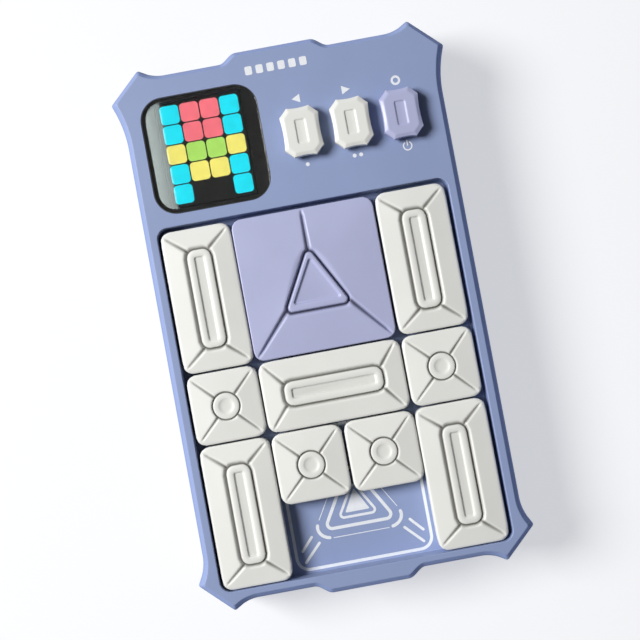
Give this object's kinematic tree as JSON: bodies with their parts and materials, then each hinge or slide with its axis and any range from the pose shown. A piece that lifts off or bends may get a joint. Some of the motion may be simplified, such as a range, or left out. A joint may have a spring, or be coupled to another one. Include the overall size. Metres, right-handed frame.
{
  "type": "sliding tile puzzle",
  "caption": "Hand-held electronic sliding-block puzzle: eared case with a light-cell screen, push buttons and a tray of loose magnetic tiles to slide towards the goal.",
  "frame": {"origin": "on the surface under the feet, below the middle of the case", "axes": "+X to the right of the front face, +Y towards the screen end, +Z out of the front face"},
  "size_m": [0.0934, 0.1514, 0.0262],
  "materials": {
    "case_plastic": "fine satin moulded, periwinkle blue",
    "back_plastic": "matte moulded, periwinkle blue",
    "white_plastic": "satin moulded, warm white",
    "lilac_plastic": "satin moulded, lilac",
    "base_plastic": "plain moulded",
    "lens_smoke": "polished, smoked nearly black",
    "diffuser_film": "milky film with twenty light cells",
    "grid_plastic": "black moulded",
    "foot_rubber": "matte",
    "steel": "zinc or nickel plated",
    "magnet_nickel": "nickel plated",
    "cell_wrap": "plain dark sleeve, no marks",
    "board": "solder mask",
    "speaker_black": "black"
  },
  "bodies": {
    "case": {"front_housing": "case_plastic", "back_cover": "back_plastic", "screen_lens": "lens_smoke", "diffuser": "diffuser_film", "light_grid": "grid_plastic", "main_board": "board", "sensor_board": "board", "steel_keeper_plate": "steel", "speaker": "speaker_black", "case_screw_1": "steel", "case_screw_2": "steel", "case_screw_3": "steel", "case_screw_4": "steel", "rubber_foot_1": "foot_rubber", "rubber_foot_2": "foot_rubber", "rubber_foot_3": "foot_rubber", "rubber_foot_4": "foot_rubber", "battery_1": "cell_wrap", "battery_2": "cell_wrap", "battery_3": "cell_wrap", "battery_contact_positive": "steel", "battery_bridge_right": "steel", "battery_bridge_left": "steel", "battery_contact_negative": "steel"},
    "battery_door": {"battery_door": "back_plastic", "battery_door_screw": "steel"},
    "button_left": {"button_left": "white_plastic"},
    "button_right": {"button_right": "white_plastic"},
    "button_power": {"button_power": "lilac_plastic"},
    "tall_tile_1": {"tall_tile_1_cap": "white_plastic", "tall_tile_1_base": "base_plastic", "tall_tile_1_magnet": "magnet_nickel"},
    "large_tile": {"large_tile_cap": "lilac_plastic", "large_tile_base": "base_plastic", "large_tile_magnet": "magnet_nickel"},
    "tall_tile_2": {"tall_tile_2_cap": "white_plastic", "tall_tile_2_base": "base_plastic", "tall_tile_2_magnet": "magnet_nickel"},
    "small_tile_1": {"small_tile_1_cap": "white_plastic", "small_tile_1_base": "base_plastic", "small_tile_1_magnet": "magnet_nickel"},
    "wide_tile": {"wide_tile_cap": "white_plastic", "wide_tile_base": "base_plastic", "wide_tile_magnet": "magnet_nickel"},
    "small_tile_2": {"small_tile_2_cap": "white_plastic", "small_tile_2_base": "base_plastic", "small_tile_2_magnet": "magnet_nickel"},
    "tall_tile_3": {"tall_tile_3_cap": "white_plastic", "tall_tile_3_base": "base_plastic", "tall_tile_3_magnet": "magnet_nickel"},
    "small_tile_3": {"small_tile_3_cap": "white_plastic", "small_tile_3_base": "base_plastic", "small_tile_3_magnet": "magnet_nickel"},
    "small_tile_4": {"small_tile_4_cap": "white_plastic", "small_tile_4_base": "base_plastic", "small_tile_4_magnet": "magnet_nickel"},
    "tall_tile_4": {"tall_tile_4_cap": "white_plastic", "tall_tile_4_base": "base_plastic", "tall_tile_4_magnet": "magnet_nickel"}
  },
  "joints": [
    {"name": "press_left", "type": "slide", "parent": "case", "child": "button_left", "axis": [0, 0, -1], "range_m": [0, 0.0007], "stiffness_N_per_m": 500},
    {"name": "press_right", "type": "slide", "parent": "case", "child": "button_right", "axis": [0, 0, -1], "range_m": [0, 0.0007], "stiffness_N_per_m": 500},
    {"name": "press_power", "type": "slide", "parent": "case", "child": "button_power", "axis": [0, 0, -1], "range_m": [0, 0.0007], "stiffness_N_per_m": 500},
    {"name": "battery_door_swing", "type": "hinge", "parent": "case", "child": "battery_door", "pos_m": [-0.0276, 0.0518, 0.0008], "axis": [0, 1, 0], "range_deg": [0, 75]},
    {"name": "tall_tile_1_lift", "type": "slide", "parent": "case", "child": "tall_tile_1", "axis": [0, 0, 1], "range_m": [0, 0.012]},
    {"name": "large_tile_lift", "type": "slide", "parent": "case", "child": "large_tile", "axis": [0, 0, 1], "range_m": [0, 0.012]},
    {"name": "tall_tile_2_lift", "type": "slide", "parent": "case", "child": "tall_tile_2", "axis": [0, 0, 1], "range_m": [0, 0.012]},
    {"name": "small_tile_1_lift", "type": "slide", "parent": "case", "child": "small_tile_1", "axis": [0, 0, 1], "range_m": [0, 0.012]},
    {"name": "wide_tile_lift", "type": "slide", "parent": "case", "child": "wide_tile", "axis": [0, 0, 1], "range_m": [0, 0.012]},
    {"name": "small_tile_2_lift", "type": "slide", "parent": "case", "child": "small_tile_2", "axis": [0, 0, 1], "range_m": [0, 0.012]},
    {"name": "tall_tile_3_lift", "type": "slide", "parent": "case", "child": "tall_tile_3", "axis": [0, 0, 1], "range_m": [0, 0.012]},
    {"name": "small_tile_3_slide", "type": "slide", "parent": "case", "child": "small_tile_3", "axis": [0, -1, 0], "range_m": [0, 0.02]},
    {"name": "small_tile_4_slide", "type": "slide", "parent": "case", "child": "small_tile_4", "axis": [0, -1, 0], "range_m": [0, 0.02]},
    {"name": "tall_tile_4_lift", "type": "slide", "parent": "case", "child": "tall_tile_4", "axis": [0, 0, 1], "range_m": [0, 0.012]}
  ]
}
